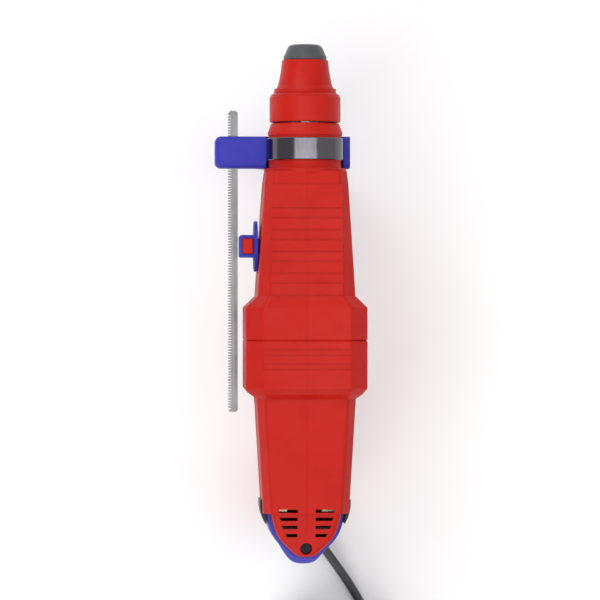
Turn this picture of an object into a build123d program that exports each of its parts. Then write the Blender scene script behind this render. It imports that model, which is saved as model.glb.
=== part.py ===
from build123d import *
from math import acos, cos, pi, sin, tan
import os

# A corded rotary hammer drill, in millimetres.
# +Y points out of the nose, +Z out of the top, +X to the right. The origin is the centre of the
# bit socket's mouth, on the spindle axis. The tool stands on the butt of its pistol grip and on the
# end of its side grip.

os.makedirs("parts", exist_ok=True)

# --- driving dimensions ---
bit_bore_r = 5.0          # shank of the bit
guide_length = 14.0       # plain round stretch behind the mouth
socket_length = 62.0
socket_relief = 0.4       # the socket is this much wider behind the plain stretch
floor_z = -165.0          # what the tool stands on
collar_r = 26.6           # round collar that the side handle clamps
collar_y = -71.0          # middle of the collar
body_half = 44.5          # half the width of the wide middle
body_top = 36.0
body_bottom = -57.0
seam_y = -211.0           # gear housing meets motor housing
wide_front_y = -187.0
wide_rear_y = -246.0
rear_y = -337.6           # motor housing meets rear cover
rear_half = 31.4          # half the width of the motor housing at its rear end
wall = 3.0
running = 0.04            # radial clearance of a running fit
gap = 0.3                 # clearance between pieces that move past each other

# --- shafts and gears ---
module = 1.0
motor_teeth = 8
layshaft_teeth = 36
pinion_teeth = 12
spindle_teeth = 52
pressure_angle = 25 * pi / 180
addendum = 0.6 * module
dedendum = 0.75 * module
backlash = 0.10
layshaft_z = -module * (pinion_teeth + spindle_teeth) / 2
motor_z = layshaft_z + module * (motor_teeth + layshaft_teeth) / 2
spindle_gear_y = -128.0
gear_width = 8.0
layshaft_gear_y = -187.0
layshaft_gear_width = 9.0
layshaft_r = 5.0
motor_shaft_r = 4.0
frame_y = -149.0          # front face of the gear frame
frame_thick = 12.0
plate_y = -199.5          # front face of the bearing plate
plate_thick = 8.0

# --- tool holder and chuck ---
holder_r = 9.5
cylinder_r = 14.0
cylinder_bore_r = 11.0
holder_step_y = -60.0
cylinder_end_y = -165.0
cap_front_y = 6.0
cap_base_y = -5.0
cap_base_r = 15.8
cap_mouth_r = 7.0
ball_y = -22.0
ball_r = 3.5
sleeve_front_r = 17.0
sleeve_rear_r = 21.3
sleeve_skirt_y = -33.0
sleeve_travel = 7.0
band_front_y = -26.6
band_rear_y = -51.0
band_r = 26.1

# --- motor ---
stator_r = 28.6
stator_bore_r = 19.0
armature_r = 18.4
core_front_y = -264.0
core_length = 48.0
commutator_y = -329.0
commutator_length = 13.0
commutator_r = 11.0
rear_bearing_y = -348.0
bearing_width = 7.0
fan_y = -229.0
fan_r = 29.0

# --- side handle, depth rod and selector ---
strap_thick = 1.6
strap_width = 16.0
head_length = 23.5
ear_end_x = -66.0
rod_x = -(body_half + 8.1)
rod_z = -14.0
rod_width = 7.0
rod_height = 6.0
rod_front_y = -42.0
rod_length = 222.0
tooth_pitch = 2.0
grip_r = 17.0
knob_y = -142.0
knob_z = -9.0
knob_r = 18.7
knob_face_x = -34.9
knob_disc = 2.6
knob_bar_width = 16.4
knob_bar_height = 10.5
knob_stub_r = 6.0

# --- pistol grip ---
grip_half = 17.0
butt_half = 24.0
shell = 2.6


def section_plane(y, z=0.0):
    """A plane across the tool at y, seen from the nose end's back: x right, local y up."""
    return Plane(origin=(0, y, z), x_dir=(1, 0, 0), z_dir=(0, -1, 0))


def turn(profile, z=0.0, mode=Mode.ADD):
    """Turn (radius, y) points about the Y axis at height z."""
    with BuildSketch(Plane.XY.offset(z)) as outline:
        with BuildLine():
            Polyline(*profile, close=True)
        make_face()
    revolve(outline.sketch, axis=Axis((0, 0, z), (0, 1, 0)), mode=mode)


def tube(outer, inner, front, rear, z=0.0, edge=0.0):
    """A tube along Y from front to rear, with its outer edges broken by edge."""
    profile = [(inner, front), (outer - edge, front), (outer, front - edge)]
    profile += [(outer, rear + edge), (outer - edge, rear), (inner, rear)]
    if edge == 0:
        profile = [(inner, front), (outer, front), (outer, rear), (inner, rear)]
    turn(profile, z)


def bar(front, rear, x, z, width, height, mode=Mode.ADD):
    """A box along Y between front and rear, centred on x and z."""
    with Locations((x, (front + rear) / 2, z)):
        Box(width, front - rear, height, mode=mode)


def rod_y(radius, front, rear, x=0.0, z=0.0, mode=Mode.ADD):
    """A round bar along Y."""
    with BuildSketch(section_plane(front, z)) as outline:
        with Locations((x, 0)):
            Circle(radius)
    extrude(outline.sketch, amount=front - rear, mode=mode)


def rod_z_axis(radius, top, bottom, x, y, mode=Mode.ADD):
    """A round bar along Z."""
    with BuildSketch(Plane.XY.offset(bottom)) as outline:
        with Locations((x, y)):
            Circle(radius)
    extrude(outline.sketch, amount=top - bottom, mode=mode)


def rod_x_axis(radius, low, high, y, z, mode=Mode.ADD):
    """A round bar along X."""
    with BuildSketch(Plane.YZ.offset(low)) as outline:
        with Locations((y, z)):
            Circle(radius)
    extrude(outline.sketch, amount=high - low, mode=mode)


def finish(builder, name):
    """Label a sub-part and write its STEP."""
    builder.part.label = name
    export_step(builder.part, f"parts/{name}.step")


def octagon(y, half, top, bottom, side, drop, rounding, inset=0.0):
    """A cross-section of the casing: a box with its corners cut by side across and drop down."""
    half, top, bottom = half - inset, top - inset, bottom + inset
    with BuildSketch(section_plane(y)) as outline:
        with BuildLine():
            Polyline(
                (-half, top - drop), (-half + side, top), (half - side, top), (half, top - drop),
                (half, bottom + 1.4 * drop), (half - 1.2 * side, bottom),
                (-half + 1.2 * side, bottom), (-half, bottom + 1.4 * drop),
                close=True,
            )
        make_face()
        if inset < rounding - 1:
            fillet(outline.vertices(), rounding - inset)
    return outline.sketch


def casing(stations, inset=0.0, mode=Mode.ADD):
    """Loft the casing through its stations, or its cavity when inset by the wall."""
    loft([octagon(*station, inset=inset) for station in stations], ruled=True, mode=mode)


def tooth_points(teeth, first_angle):
    """Outline of a spur gear with stub teeth; one tooth is centred on first_angle."""
    pitch_r = module * teeth / 2
    base_r = pitch_r * cos(pressure_angle)
    tip_r = pitch_r + addendum
    root_r = pitch_r - dedendum

    def half_angle(radius):
        roll = acos(min(1.0, base_r / radius))
        half_pitch = (pi * module / 2 - backlash) / (2 * pitch_r)
        return half_pitch + tan(pressure_angle) - pressure_angle - (tan(roll) - roll)

    radii = [root_r, max(base_r, root_r + 0.2), pitch_r, tip_r]
    points = []
    for tooth in range(teeth):
        middle = first_angle + 2 * pi * tooth / teeth
        for side, row in ((-1, radii), (1, radii[::-1])):
            for radius in row:
                angle = middle + side * half_angle(max(radius, base_r))
                points.append((radius * cos(angle), radius * sin(angle)))
    return points


def gear(teeth, first_angle, front, width, z, bore):
    """A spur gear on a shaft along Y."""
    with BuildSketch(section_plane(front, z)) as outline:
        with BuildLine():
            Polyline(*tooth_points(teeth, first_angle), close=True)
        make_face()
        if bore > 0:
            Circle(bore, mode=Mode.SUBTRACT)
    extrude(outline.sketch, amount=width)


def bearing(outer, inner, front, rear, z):
    """A bearing as one ring with a groove in each face between its races."""
    middle = (outer + inner) / 2
    groove = (outer - inner) * 0.14
    tube(outer, inner, front, rear, z, edge=0.4)
    for face, way in ((front, -1), (rear, 1)):
        profile = [(middle - groove, face), (middle + groove, face)]
        profile += [(middle + groove, face + way * 0.6), (middle - groove, face + way * 0.6)]
        turn(profile, z, mode=Mode.SUBTRACT)


# --- spindle ---
with BuildPart() as tool_holder:
    relief_r = bit_bore_r + socket_relief
    turn([
        (bit_bore_r, 0), (holder_r, 0), (holder_r, holder_step_y), (cylinder_r, holder_step_y),
        (cylinder_r, cylinder_end_y), (cylinder_bore_r, cylinder_end_y),
        (cylinder_bore_r, -socket_length - 4), (relief_r, -socket_length),
        (relief_r, -guide_length), (bit_bore_r, -guide_length),
    ])
    for side in (-1, 1):
        bar(-guide_length - 2, -socket_length + 2, side * (relief_r - 0.4), 0, 1.6, 2.0)
    rod_z_axis(ball_r + 0.1, holder_r + 1, 4.0, 0, ball_y, mode=Mode.SUBTRACT)
    rod_z_axis(ball_r + 0.1, -4.0, -holder_r - 1, 0, ball_y, mode=Mode.SUBTRACT)
finish(tool_holder, "tool_holder")

with BuildPart() as locking_balls:
    for side in (-1, 1):
        with Locations((0, ball_y, side * 8.0)):
            Sphere(ball_r)
finish(locking_balls, "locking_balls")

with BuildPart() as dust_cap:
    turn([
        (cap_mouth_r, cap_front_y - 0.6), (cap_mouth_r + 0.6, cap_front_y), (9.4, cap_front_y),
        (11.0, cap_front_y - 0.5), (12.4, cap_front_y - 1.6), (13.6, cap_front_y - 4.0),
        (14.6, cap_front_y - 6.6), (cap_base_r, cap_front_y - 8.8), (cap_base_r, cap_base_y),
        (holder_r, cap_base_y), (holder_r, 0), (cap_mouth_r, 0),
    ])
finish(dust_cap, "dust_cap")

with BuildPart() as locking_sleeve:
    turn([
        (holder_r + gap, -5.4), (sleeve_front_r - 0.5, -5.4), (sleeve_front_r, -5.9),
        (17.8, -13.0), (18.8, -19.0), (20.0, -24.2), (sleeve_rear_r, band_front_y),
        (sleeve_rear_r, sleeve_skirt_y), (19.2, sleeve_skirt_y), (19.2, -28.0),
        (11.75, -28.0), (11.75, -17.5), (13.2, -17.5), (13.2, -9.0), (holder_r + gap, -9.0),
    ])
finish(locking_sleeve, "locking_sleeve")

with BuildPart() as rear_sleeve:
    cavity_r = sleeve_rear_r + gap
    cavity_y = sleeve_skirt_y - sleeve_travel - 1
    turn([
        (cavity_r, band_front_y), (22.6, band_front_y), (23.0, -27.4), (22.6, -28.2),
        (23.0, -28.9), (22.8, -29.6), (24.2, -30.4), (25.3, -31.4), (25.3, -32.2),
        (band_r, -32.8), (band_r, band_rear_y + 0.6), (band_r - 0.6, band_rear_y),
        (22.8, band_rear_y), (22.8, -50.0), (holder_r, -50.0), (holder_r, -46.0),
        (16.0, -46.0), (16.0, cavity_y), (cavity_r, cavity_y),
    ])
finish(rear_sleeve, "rear_sleeve")

with BuildPart() as spring_seat:
    tube(15.2, holder_r, -44.6, -45.9, edge=0.2)
finish(spring_seat, "spring_seat")

with BuildPart() as sleeve_spring:
    spring_r = 12.8
    wire_r = 0.75
    spring_front = -29.0
    spring_length = 14.4
    with BuildLine() as coil:
        Helix(pitch=spring_length / 4.5, height=spring_length, radius=spring_r,
              center=(0, spring_front, 0), direction=(0, -1, 0))
    with BuildSketch(Plane(origin=coil.line @ 0, z_dir=coil.line % 0)):
        Circle(wire_r)
    sweep(path=coil.line)
finish(sleeve_spring, "sleeve_spring")

with BuildPart() as spindle_gear:
    gear(spindle_teeth, -pi / 2 + pi / spindle_teeth, spindle_gear_y, gear_width, 0, cylinder_r)
    turn([(cylinder_r, spindle_gear_y - gear_width), (18.5, spindle_gear_y - gear_width),
          (18.5, frame_y + 1.2), (cylinder_r, frame_y + 1.2)])
finish(spindle_gear, "spindle_gear")

with BuildPart() as impact_bolt:
    turn([(0, -66.5), (6.0, -66.5), (cylinder_bore_r - 0.1, -69.0), (cylinder_bore_r - 0.1, -86.0),
          (7.0, -86.0), (7.0, -93.0), (0, -93.0)])
finish(impact_bolt, "impact_bolt")

with BuildPart() as striker:
    turn([(0, -97.0), (7.0, -97.0), (cylinder_bore_r - 0.1, -99.0), (cylinder_bore_r - 0.1, -112.0),
          (10.0, -112.0), (10.0, -115.0), (cylinder_bore_r - 0.1, -115.0),
          (cylinder_bore_r - 0.1, -121.0), (0, -121.0)])
finish(striker, "striker")

with BuildPart() as spindle_bearings:
    bearing(19.0, cylinder_r + running, -61.5, -77.0, 0)
    bearing(19.5, cylinder_r + running, frame_y - 1.0, frame_y - frame_thick + 1.0, 0)
finish(spindle_bearings, "spindle_bearings")

with BuildPart() as front_seal:
    turn([(holder_r + gap, -52.6), (18.8, -52.6), (19.0, -53.0), (19.0, -59.0), (holder_r + 3, -59.0),
          (holder_r + gap, -55.5)])
finish(front_seal, "front_seal")

# --- layshaft ---
wobble_hub_r = 10.4
wobble_front_y = -164.6
wobble_rear_y = -175.8
finger_y = (wobble_front_y + wobble_rear_y) / 2
with BuildPart() as layshaft:
    rod_y(layshaft_r, -119.8, spindle_gear_y + 1, z=layshaft_z)
    gear(pinion_teeth, pi / 2, spindle_gear_y + 1, gear_width + 2, layshaft_z, 0)
    rod_y(layshaft_r, spindle_gear_y - gear_width - 1, plate_y - plate_thick + 0.6, z=layshaft_z)
    rod_y(wobble_hub_r, wobble_front_y, wobble_rear_y, z=layshaft_z)
finish(layshaft, "layshaft")

with BuildPart() as layshaft_gear:
    gear(layshaft_teeth, pi / 2, layshaft_gear_y, layshaft_gear_width, layshaft_z, layshaft_r)
finish(layshaft_gear, "layshaft_gear")

with BuildPart() as wobble_ring:
    tube(15.0, wobble_hub_r + gap, wobble_front_y, wobble_rear_y, layshaft_z, edge=0.6)
    rod_z_axis(3.0, 2.0, layshaft_z + 13.5, 0, finger_y)
finish(wobble_ring, "wobble_ring")

with BuildPart() as piston:
    turn([(0, -133.0), (cylinder_bore_r - 0.2, -133.0), (cylinder_bore_r - 0.2, -138.0), (10.0, -138.0),
          (10.0, -141.0), (cylinder_bore_r - 0.2, -141.0), (cylinder_bore_r - 0.2, -158.0),
          (8.0, -160.0), (8.0, -178.0), (0, -178.0)])
    rod_z_axis(3.3, 3.0, -9.0, 0, finger_y, mode=Mode.SUBTRACT)
finish(piston, "piston")

with BuildPart() as layshaft_bearings:
    bearing(8.5, layshaft_r + running, -119.6, -125.6, layshaft_z)
    bearing(9.5, layshaft_r + running, plate_y - 0.5, plate_y - 7.0, layshaft_z)
finish(layshaft_bearings, "layshaft_bearings")

# --- armature ---
with BuildPart() as armature_shaft:
    gear(motor_teeth, -pi / 2 + pi / motor_teeth, layshaft_gear_y + 0.8, layshaft_gear_width + 2, motor_z, 0)
    rod_y(motor_shaft_r, layshaft_gear_y - layshaft_gear_width - 1.2, -357.0, z=motor_z)
finish(armature_shaft, "armature_shaft")

with BuildPart() as armature_core:
    tube(armature_r, motor_shaft_r, core_front_y, core_front_y - core_length, motor_z)
finish(armature_core, "armature_core")

with BuildPart() as armature_windings:
    core_rear_y = core_front_y - core_length
    turn([(motor_shaft_r, core_front_y + 9), (12.5, core_front_y + 9), (16.4, core_front_y + 5),
          (16.4, core_front_y), (motor_shaft_r, core_front_y)], motor_z)
    turn([(motor_shaft_r, core_rear_y), (16.4, core_rear_y), (16.4, core_rear_y - 5),
          (12.5, core_rear_y - 10), (motor_shaft_r, core_rear_y - 10)], motor_z)
finish(armature_windings, "armature_windings")

with BuildPart() as commutator:
    tube(commutator_r, motor_shaft_r, commutator_y, commutator_y - commutator_length, motor_z, edge=0.5)
finish(commutator, "commutator")

with BuildPart() as fan:
    tube(8.5, motor_shaft_r, fan_y, fan_y - 10.0, motor_z)
    tube(fan_r, motor_shaft_r, fan_y, fan_y - 2.0, motor_z)
    with BuildSketch(section_plane(fan_y - 1.5, motor_z)):
        with PolarLocations(18.5, 12):
            Rectangle(20.5, 1.4, rotation=22)
    extrude(amount=8.0)
finish(fan, "fan")

with BuildPart() as motor_bearings:
    bearing(10.5, motor_shaft_r + running, plate_y - 0.5, plate_y - 7.0, motor_z)
    bearing(9.5, motor_shaft_r + running, rear_bearing_y, rear_bearing_y - bearing_width, motor_z)
finish(motor_bearings, "motor_bearings")

# --- stator and brushes ---
with BuildPart() as stator:
    tube(stator_r, stator_bore_r, core_front_y + 1, core_front_y - core_length - 1, motor_z)
finish(stator, "stator")

with BuildPart() as field_coils:
    for face, way in ((core_front_y + 1, 1), (core_front_y - core_length - 1, -1)):
        turn([(20.5, face), (27.0, face), (27.0, face + way * 5), (25.0, face + way * 8),
              (22.0, face + way * 8), (20.5, face + way * 5)], motor_z)
finish(field_coils, "field_coils")

brush_y = -333.0
brush_width = 6.4
brush_height = 8.0
brush_gap = 0.1
with BuildPart() as carbon_brushes:
    for side in (-1, 1):
        with Locations((side * (commutator_r + brush_gap + 5.5), brush_y, motor_z)):
            Box(11.0, brush_width, brush_height)
finish(carbon_brushes, "carbon_brushes")

with BuildPart() as brush_holders:
    for side in (-1, 1):
        with Locations((side * 20.5, brush_y, motor_z)):
            Box(15.6, brush_width + 2.4, brush_height + 3.0)
            Box(15.6, brush_width + 0.2, brush_height + 0.2, mode=Mode.SUBTRACT)
finish(brush_holders, "brush_holders")

# --- casing ---
corner = 4.0
panel_front_y, panel_front_z = -97.0, 31.0
panel_rear_y, panel_rear_z = -178.6, 33.6


def top_at(y):
    """Height of the gear housing's top at y."""
    share = (y - panel_front_y) / (panel_rear_y - panel_front_y)
    return panel_front_z + share * (panel_rear_z - panel_front_z)


wide = (body_half, body_top, body_bottom, 12.5, 12.0, corner)
seam_edge = (body_half - 0.8, body_top - 0.8, body_bottom + 0.8, 12.5, 12.0, corner)
front_stations = [
    (-87.5, 29.5, 29.0, -36.0, 6.0, 8.0, corner),
    (panel_front_y, 30.6, panel_front_z, -42.0, 6.5, 9.0, corner),
    (-115.0, 31.7, top_at(-115.0), -50.5, 7.0, 9.0, corner),
    (panel_rear_y, 35.7, panel_rear_z, -54.5, 9.0, 10.0, corner),
    (wide_front_y, *wide),
    (seam_y + 0.8, *wide),
    (seam_y, *seam_edge),
]
rear_stations = [
    (seam_y, *seam_edge),
    (seam_y - 0.8, *wide),
    (wide_rear_y, *wide),
    (wide_rear_y - 4.4, body_half - 3.6, body_top - 2.6, body_bottom + 3.0, 10.5, 11.0, corner),
    (wide_rear_y - 5.0, body_half - 4.4, body_top - 3.4, body_bottom + 4.0, 10.0, 11.0, corner),
    (wide_rear_y - 7.8, 36.2, 29.0, -49.5, 6.0, 9.0, corner),
    (rear_y, rear_half, 25.0, -46.0, 6.0, 9.0, corner),
]
front_cavity = [(-91.0, 29.9, 29.7, -38.2, 6.1, 8.4, corner)] + front_stations[1:5]
front_cavity += [(seam_y - 0.1, *wide)]
rear_cavity = [(seam_y + 0.1, *wide), (wide_rear_y - 1.0, *wide),
               (wide_rear_y - 9.5, 36.0, 28.9, -49.4, 6.0, 9.0, corner),
               (rear_y - 0.1, rear_half, 25.0, -46.0, 6.0, 9.0, corner)]
screw_x = body_half - 4.9
screw_heights = (8.0, -32.0)
screw_r = 2.0
screw_head_r = 3.7
screw_head_y = -241.0
screw_tip_y = -192.0
boss_r = 4.7

rib_first_y = -118.2
rib_pitch = 15.8
rib_width = 8.4
rib_depth = 1.3
panel_half = 26.0
panel_rise = 0.9


with BuildPart() as gear_housing:
    casing(front_stations)
    turn([(0, -52.0), (24.6, -52.0), (25.2, -52.6), (27.4, -58.6), (27.4, -60.7), (collar_r, -60.7),
          (collar_r, -85.0), (29.6, -85.0), (30.2, -85.7), (30.2, -88.4), (28.5, -91.0), (0, -91.0)])
    for y in (panel_front_y - 0.5, panel_rear_y + 1.0):
        with BuildSketch(section_plane(y)):
            with Locations((0, top_at(y) - 1)):
                Rectangle(2 * panel_half, 2 + 2 * panel_rise)
    loft(ruled=True)
    casing(front_cavity, inset=wall, mode=Mode.SUBTRACT)
    rod_y(11.5, -106.0, -125.6, z=layshaft_z)
    rod_y(8.5, -119.6, -130.0, z=layshaft_z, mode=Mode.SUBTRACT)
    rod_y(19.0, -50.0, -92.0, mode=Mode.SUBTRACT)
    for rib in range(4):
        y = rib_first_y - rib * rib_pitch
        with Locations((0, y, top_at(y) + panel_rise - rib_depth + 5)):
            Box(2 * panel_half + 3, rib_width, 10, mode=Mode.SUBTRACT)
    rod_x_axis(knob_stub_r + 0.2, -40, -25, knob_y, knob_z, mode=Mode.SUBTRACT)
    for side in (-1, 1):
        for height in screw_heights:
            rod_y(boss_r, wide_front_y - 2.0, plate_y, side * screw_x, height)
            rod_y(screw_r + 0.1, screw_tip_y, seam_y - 1, side * screw_x, height, mode=Mode.SUBTRACT)
finish(gear_housing, "gear_housing")

with BuildPart() as motor_housing:
    casing(rear_stations)
    casing(rear_cavity, inset=wall, mode=Mode.SUBTRACT)
    for side in (-1, 1):
        for height in screw_heights:
            rod_y(boss_r, seam_y - 0.4, screw_head_y - 4.0, side * screw_x, height)
    for side in (-1, 1):
        for height in screw_heights:
            rod_y(screw_r + 0.1, seam_y + 1, screw_head_y - 9, side * screw_x, height, mode=Mode.SUBTRACT)
            rod_y(screw_head_r + 0.4, screw_head_y, wide_rear_y - 12, side * screw_x, height,
                  mode=Mode.SUBTRACT)
    for groove_y, groove_width in ((-219.6, 5.2), (-230.0, 5.0)):
        with Locations((0, groove_y, body_top + 4.1)):
            Box(64.0, groove_width, 10, mode=Mode.SUBTRACT)
    for side in (-1, 1):
        with Locations((side * 13.3, rear_y + 2.2, 24.0)):
            Box(13.8, 2.4, 12, mode=Mode.SUBTRACT)
    rod_x_axis(5.2, -40, 40, brush_y, motor_z, mode=Mode.SUBTRACT)
finish(motor_housing, "motor_housing")

with BuildPart() as housing_screws:
    for side in (-1, 1):
        for height in screw_heights:
            rod_y(screw_r, screw_tip_y, screw_head_y, side * screw_x, height)
            rod_y(screw_head_r, screw_head_y, screw_head_y - 3.2, side * screw_x, height)
            rod_y(1.6, screw_head_y - 1.6, screw_head_y - 4, side * screw_x, height, mode=Mode.SUBTRACT)
finish(housing_screws, "housing_screws")

with BuildPart() as gear_frame:
    frame_stations = [
        (frame_y, 33.6, 32.5, -52.8, 7.5, 9.5, corner),
        (frame_y - frame_thick, 34.4, 32.9, -53.4, 8.0, 9.7, corner),
    ]
    casing(frame_stations, inset=wall + 0.3)
    rod_y(19.5, frame_y + 1, frame_y - frame_thick - 1, mode=Mode.SUBTRACT)
    rod_y(7.0, frame_y + 1, frame_y - frame_thick - 1, z=layshaft_z, mode=Mode.SUBTRACT)
finish(gear_frame, "gear_frame")

with BuildPart() as bearing_plate:
    casing([(plate_y, *wide), (plate_y - plate_thick, *wide)], inset=wall + 0.1)
    rod_y(10.5, plate_y + 1, plate_y - plate_thick - 1, z=motor_z, mode=Mode.SUBTRACT)
    rod_y(9.5, plate_y + 1, plate_y - plate_thick - 1, z=layshaft_z, mode=Mode.SUBTRACT)
    for side in (-1, 1):
        for height in screw_heights:
            rod_y(screw_r + 0.1, plate_y + 1, plate_y - plate_thick - 1, side * screw_x, height,
                  mode=Mode.SUBTRACT)
finish(bearing_plate, "bearing_plate")

# --- tail and pistol grip ---
cover_bottom = -20.0
cover_top = 24.0
cover_rear_top = 13.0
tail_points = [(25.4, rear_y), (23.2, -347.7), (19.1, -356.5), (10.7, -365.3), (0, -369.7)]
band_points = [(28.8, rear_y), (26.9, -347.7), (22.7, -356.5), (13.4, -366.8), (0, -372.4)]
tail_bottom = -60.0
cover_screw_y = -363.4
cover_screw_seat = 4.0
grip_sections = [
    (-44.0, -290.0, -362.0, 18.6), (-62.0, -298.0, -355.0, 17.5), (-85.0, -303.0, -350.0, grip_half),
    (-125.0, -304.0, -350.0, 17.4), (-147.0, -299.0, -353.0, 19.0), (-157.0, -292.0, -360.0, 22.8),
    (floor_z, -290.5, -361.5, butt_half),
]
trigger_top = -61.0
trigger_bottom = -91.0
trigger_half = 6.8
trigger_rear_y = -314.0
switch_front_y = -321.0
slider_y = -306.0
slider_z = -54.6
lock_y = -330.0
lock_z = -74.0
lock_r = 4.6


def tail_plan(z, points):
    """The tail seen from above: straight across its front, curved round its end."""
    with BuildSketch(Plane.XY.offset(z)) as plan:
        with BuildLine():
            Line((-points[0][0], points[0][1]), points[0])
            Spline(*points, tangents=[(-0.12, -1), (-1, 0)])
            Spline(*[(-x, y) for x, y in points], tangents=[(0.12, -1), (1, 0)])
        make_face()
    return plan.sketch


def inset_points(points, inset):
    """The tail's outline moved inwards by inset, with its front end left where it was."""
    centre_y = points[1][1]
    moved = [(points[0][0] - inset, points[0][1])]
    for x, y in points[1:]:
        reach = (x ** 2 + (y - centre_y) ** 2) ** 0.5
        moved.append((x * (1 - inset / reach), centre_y + (y - centre_y) * (1 - inset / reach)))
    return moved


def grip_form(sections, grow=0.0, mode=Mode.ADD):
    """Loft the pistol grip through its level sections."""
    levels = []
    for z, front, rear, half in sections:
        with BuildSketch(Plane.XY.offset(z)) as level:
            with Locations((0, (front + rear) / 2)):
                RectangleRounded(2 * (half + grow), front - rear + 2 * grow, 0.78 * (half + grow))
        levels.append(level.sketch)
    loft(levels, mode=mode)


def tail_form(mode=Mode.ADD):
    """The lower half of the tail, under the rear cover."""
    extrude(tail_plan(tail_bottom, tail_points), amount=cover_bottom - tail_bottom, mode=mode)


cavity_points = inset_points(tail_points, shell)


def tail_block(points, bottom, top, rear_top):
    """The rear cover's solid form, or its cavity: the tail's plan under a top that slopes rearward."""
    extrude(tail_plan(bottom, points), amount=top - bottom)
    with BuildSketch(Plane.YZ) as slope:
        with BuildLine():
            Polyline((rear_y + 1, top), (-372, rear_top), (-372, 40), (rear_y + 1, 40), close=True)
        make_face()
    extrude(slope.sketch, amount=40, both=True, mode=Mode.SUBTRACT)


with BuildPart() as cover_cavity:
    tail_block(cavity_points, cover_bottom - 1, cover_top - shell, cover_rear_top - shell - 0.6)

with BuildPart() as rear_cover:
    tail_block(tail_points, cover_bottom, cover_top, cover_rear_top)
    fillet(faces().sort_by(Axis.Z)[-1].edges().sort_by(Axis.Y)[:-1], 4.5)
    add(cover_cavity.part, mode=Mode.SUBTRACT)
    rod_z_axis(6.0, 12.0, cover_bottom, 0, cover_screw_y)
    rod_z_axis(4.4, 40.0, cover_screw_seat, 0, cover_screw_y, mode=Mode.SUBTRACT)
    rod_z_axis(2.1, 40.0, cover_bottom - 1, 0, cover_screw_y, mode=Mode.SUBTRACT)
    for row, reach in enumerate((19.4, 17.8, 15.0)):
        vent_y = rear_y - 3.8 - 6.05 * row
        for side in (-1, 1):
            with BuildSketch(Plane.XY.offset(8)):
                with BuildLine():
                    Polyline((side * 6.6, vent_y + 1.25), (side * (reach + 0.5), vent_y + 1.25),
                             (side * (reach - 0.9), vent_y - 1.25), (side * 6.6, vent_y - 1.25), close=True)
                make_face()
            extrude(amount=20, mode=Mode.SUBTRACT)
finish(rear_cover, "rear_cover")

with BuildPart() as cover_screw:
    rod_z_axis(2.0, cover_screw_seat, -34.0, 0, cover_screw_y)
    rod_z_axis(3.8, cover_screw_seat + 2.4, cover_screw_seat, 0, cover_screw_y)
    for turned_by in (0, 90):
        with Locations(Location((0, cover_screw_y, cover_screw_seat + 2.0), (0, 0, turned_by))):
            Box(4.6, 0.9, 1.8, mode=Mode.SUBTRACT)
finish(cover_screw, "cover_screw")

with BuildPart() as tail_band:
    extrude(tail_plan(-34.0, band_points), amount=38.0)
    fillet(faces().sort_by(Axis.Z)[-1].edges().sort_by(Axis.Y)[:-1], 1.6)
    extrude(tail_plan(-36.0, tail_points), amount=60.0, mode=Mode.SUBTRACT)
finish(tail_band, "tail_band")

pad_sections = ((-34.0, -377.0, 22.0), (-46.0, -377.0, 22.0), (-60.0, -373.5, 21.0), (-70.0, -364.0, 19.5))
pad_proud = 2.4
with BuildPart() as back_strip:
    grip_form(grip_sections, grow=pad_proud)
    with Locations((0, -365, -103.0)):
        Box(80, 50, 83, mode=Mode.INTERSECT)

with BuildPart() as palm_pad:
    pad_levels = []
    for z, tip, half in pad_sections:
        length = rear_y - tip
        pad_points = [(half, rear_y), (0.93 * half, rear_y - 0.45 * length),
                      (0.55 * half, rear_y - 0.87 * length), (0, tip)]
        pad_levels.append(tail_plan(z, pad_points))
    loft(pad_levels, ruled=True)
    extrude(pad_levels[0], amount=14.0)
    fillet(faces().sort_by(Axis.Z)[-1].edges().sort_by(Axis.Y)[:-1], 5.0)
    extrude(tail_plan(-34.0, band_points), amount=38.0, mode=Mode.SUBTRACT)
    add(back_strip.part)
    tail_form(mode=Mode.SUBTRACT)
    grip_form(grip_sections, mode=Mode.SUBTRACT)
finish(palm_pad, "palm_pad")

handle_screw_places = (
    (-310.0, -108.0, 13.6), (-343.5, -114.0, 13.6), (-327.0, -149.0, 17.8), (-352.0, -46.0, 20.2),
)
with BuildPart() as handle:
    tail_form()
    grip_form(grip_sections)
    extrude(tail_plan(tail_bottom + shell, cavity_points), amount=60, mode=Mode.SUBTRACT)
    inner_sections = [(z, front, rear, half) for z, front, rear, half in grip_sections]
    inner_sections[-1] = (floor_z + 6.0, *grip_sections[-2][1:])
    grip_form(inner_sections, grow=-shell, mode=Mode.SUBTRACT)
    casing(rear_stations[5:], inset=-0.1, mode=Mode.SUBTRACT)
    for y, z, reach in handle_screw_places:
        rod_x_axis(4.2, -reach, reach, y, z)
    rod_z_axis(5.0, cover_bottom, tail_bottom + 1, 0, cover_screw_y)
    rod_z_axis(2.1, cover_bottom + 1, -36.0, 0, cover_screw_y, mode=Mode.SUBTRACT)
    for y, z, reach in handle_screw_places:
        rod_x_axis(1.6, 3 - reach, 30, y, z, mode=Mode.SUBTRACT)
        rod_x_axis(3.3, reach - 3, 40, y, z, mode=Mode.SUBTRACT)
    with Locations((0, -300, (trigger_top + trigger_bottom) / 2)):
        Box(2 * trigger_half + 0.8, 24, trigger_top - trigger_bottom + 0.8, mode=Mode.SUBTRACT)
    with Locations((0, slider_y, slider_z)):
        Box(60, 8.8, 5.8, mode=Mode.SUBTRACT)
    rod_x_axis(lock_r + gap, -30, 0, lock_y, lock_z, mode=Mode.SUBTRACT)
    guard_way = Vector(0.6, -0.8, 0)
    guard_start = Vector(0, -343.6, floor_z + 9.5)
    with BuildSketch(Plane(origin=guard_start + guard_way * 10, z_dir=guard_way)):
        Circle(5.2)
    extrude(amount=20, mode=Mode.SUBTRACT)

with BuildPart() as handle_left:
    add(handle.part)
    split(bisect_by=Plane.YZ, keep=Keep.BOTTOM)
finish(handle_left, "handle_left")

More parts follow.
